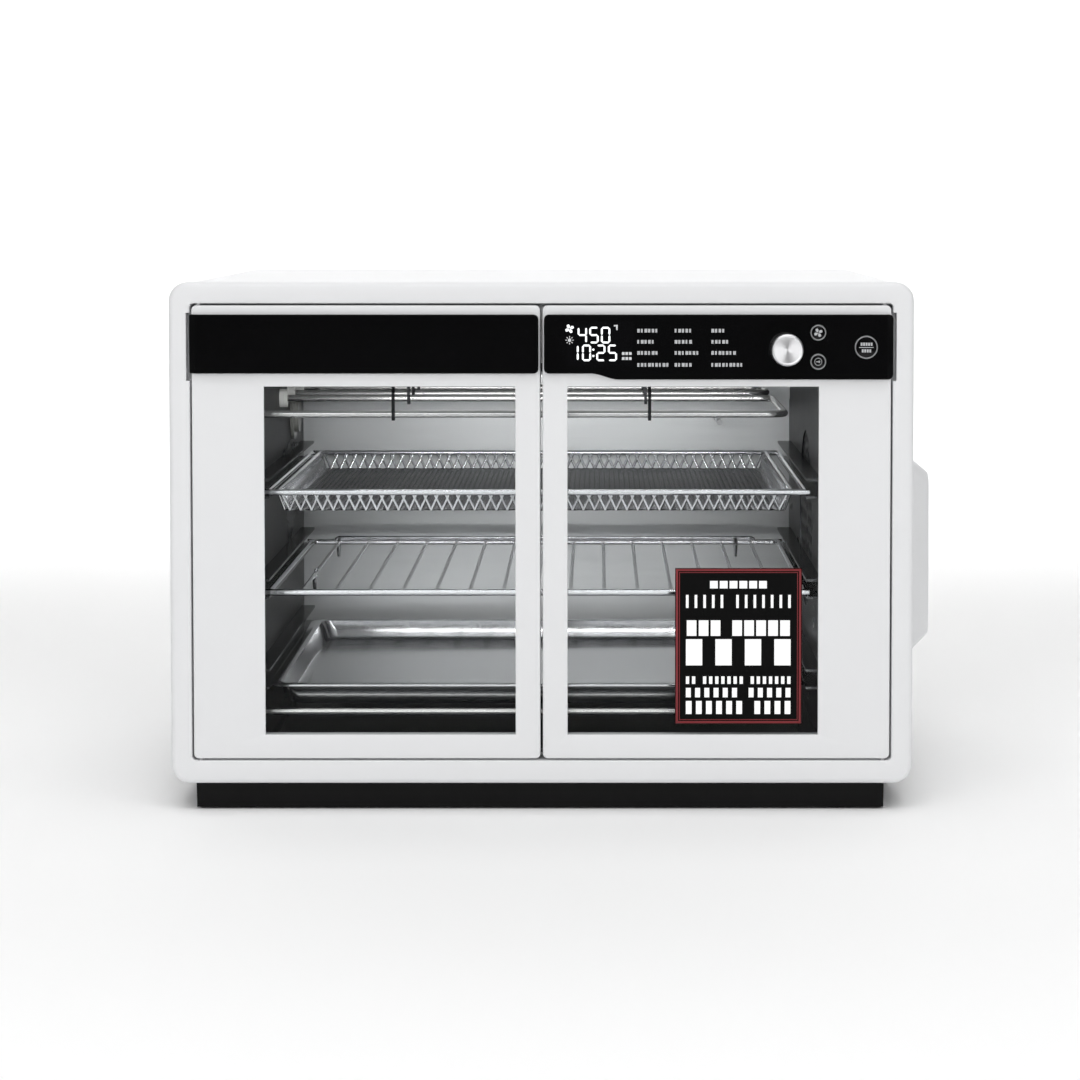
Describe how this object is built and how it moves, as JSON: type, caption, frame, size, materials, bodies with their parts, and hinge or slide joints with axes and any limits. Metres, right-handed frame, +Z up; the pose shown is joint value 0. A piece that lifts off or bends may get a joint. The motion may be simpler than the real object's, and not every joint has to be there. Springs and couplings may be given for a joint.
{
  "type": "toaster oven",
  "caption": "Countertop toaster oven with two side-hinged glass doors, digital controls on the right door, racks, basket, trays and a side vent cover.",
  "frame": {"origin": "on the table at the centre of the footprint, side vent cover and knob counted in", "axes": "+Z up, -Y towards the user (the doors' side), +X to the user's right"},
  "size_m": [0.472, 0.41, 0.321],
  "materials": {
    "white_paint": "satin white powder coat",
    "frame_white": "satin white powder coat",
    "liner_white": "satin light grey-white coat",
    "galvanised": "plain zinc-coated sheet",
    "cavity_steel": "aluminised sheet, rolled",
    "rail_steel": "pressed sheet",
    "chrome_wire": "bright chrome plate",
    "tray_metal": "satin pressed sheet",
    "crumb_metal": "satin pressed sheet",
    "heater_sheath": "satin sheath",
    "ceramic_white": "unglazed",
    "fan_metal": "pressed sheet",
    "motor_black": "dark enamel",
    "foot_black": "black moulded",
    "pad_rubber": "matt",
    "seal_rubber": "matt grey silicone",
    "screw_steel": "zinc plate",
    "glass_clear": "clear tempered",
    "lamp_glass": "frosted",
    "band_black": "gloss black",
    "lens_black": "smoked gloss",
    "button_black": "gloss black",
    "knob_metal": "turned face",
    "board_green": "solder mask",
    "blanket_white": "needled fibre",
    "magnet_grey": "ferrite"
  },
  "bodies": {
    "cabinet": {"front_frame": "frame_white", "outer_wrap": "white_paint", "side_vent_cover": "white_paint", "rear_panel": "galvanised", "rear_spacers": "foot_black", "base_pan": "galvanised", "front_foot_bar": "foot_black", "rear_foot_bar": "foot_black", "foot_pads": "pad_rubber", "cabinet_screws": "screw_steel", "cord_gland": "foot_black", "cavity_flange": "cavity_steel", "cavity_ceiling": "cavity_steel", "cavity_floor": "cavity_steel", "cavity_back": "cavity_steel", "cavity_left_wall": "cavity_steel", "cavity_right_wall": "cavity_steel", "left_rack_rails": "rail_steel", "right_rack_rails": "rail_steel", "fan_guard": "cavity_steel", "fan_shroud": "galvanised", "fan_motor": "motor_black", "motor_bracket": "galvanised", "upper_heater": "heater_sheath", "lower_heater": "heater_sheath", "heater_insulators": "ceramic_white", "heater_hangers": "rail_steel", "lamp_lens": "lamp_glass", "lamp_bulb": "lamp_glass", "lamp_socket": "ceramic_white", "temperature_probe": "screw_steel", "thermal_cutout": "motor_black", "insulation_blanket": "blanket_white", "power_board": "board_green", "door_seal": "seal_rubber", "hinge_pins": "screw_steel", "catch_magnets": "magnet_grey"},
    "left_door": {"left_door_frame": "white_paint", "left_glass": "glass_clear", "left_door_liner": "liner_white", "left_band": "band_black", "left_strike": "screw_steel"},
    "right_door": {"right_door_frame": "white_paint", "right_glass": "glass_clear", "right_door_liner": "liner_white", "right_band": "band_black", "right_strike": "screw_steel", "display_lens": "lens_black", "control_unit": "board_green"},
    "knob": {"knob": "knob_metal"},
    "fan_button": {"fan_button": "button_black"},
    "light_button": {"light_button": "button_black"},
    "start_button": {"start_button": "button_black"},
    "fan": {"convection_fan": "fan_metal", "fan_shaft": "screw_steel", "cooling_fan": "fan_metal"},
    "wire_rack": {"wire_rack": "chrome_wire"},
    "air_fry_basket": {"air_fry_basket": "chrome_wire"},
    "bake_tray": {"bake_tray": "tray_metal"},
    "crumb_tray": {"crumb_tray": "crumb_metal"}
  },
  "joints": [
    {"name": "left_door_hinge", "type": "hinge", "parent": "cabinet", "child": "left_door", "pos_m": [-0.218, -0.1848, 0.17], "axis": [0, 0, -1], "range_deg": [0, 95]},
    {"name": "right_door_hinge", "type": "hinge", "parent": "cabinet", "child": "right_door", "pos_m": [0.196, -0.1848, 0.17], "axis": [0, 0, 1], "range_deg": [0, 95]},
    {"name": "knob_turn", "type": "hinge", "parent": "right_door", "child": "knob", "pos_m": [0.1365, -0.1985, 0.2807], "axis": [0, 1, 0], "continuous": true},
    {"name": "fan_button_press", "type": "slide", "parent": "right_door", "child": "fan_button", "axis": [0, 1, 0], "range_m": [0, 0.0008], "stiffness_N_per_m": 400, "springref_m": -0.001},
    {"name": "light_button_press", "type": "slide", "parent": "right_door", "child": "light_button", "axis": [0, 1, 0], "range_m": [0, 0.0008], "stiffness_N_per_m": 400, "springref_m": -0.001},
    {"name": "start_button_press", "type": "slide", "parent": "right_door", "child": "start_button", "axis": [0, 1, 0], "range_m": [0, 0.0008], "stiffness_N_per_m": 400, "springref_m": -0.001},
    {"name": "fan_spin", "type": "hinge", "parent": "cabinet", "child": "fan", "pos_m": [0.199, -0.008, 0.16], "axis": [1, 0, 0], "continuous": true},
    {"name": "wire_rack_slide", "type": "slide", "parent": "cabinet", "child": "wire_rack", "axis": [0, -1, 0], "range_m": [0, 0.01]},
    {"name": "air_fry_basket_slide", "type": "slide", "parent": "cabinet", "child": "air_fry_basket", "axis": [0, -1, 0], "range_m": [0, 0.01]},
    {"name": "bake_tray_slide", "type": "slide", "parent": "cabinet", "child": "bake_tray", "axis": [0, -1, 0], "range_m": [0, 0.01]},
    {"name": "crumb_tray_slide", "type": "slide", "parent": "cabinet", "child": "crumb_tray", "axis": [0, -1, 0], "range_m": [0, 0.01]}
  ]
}
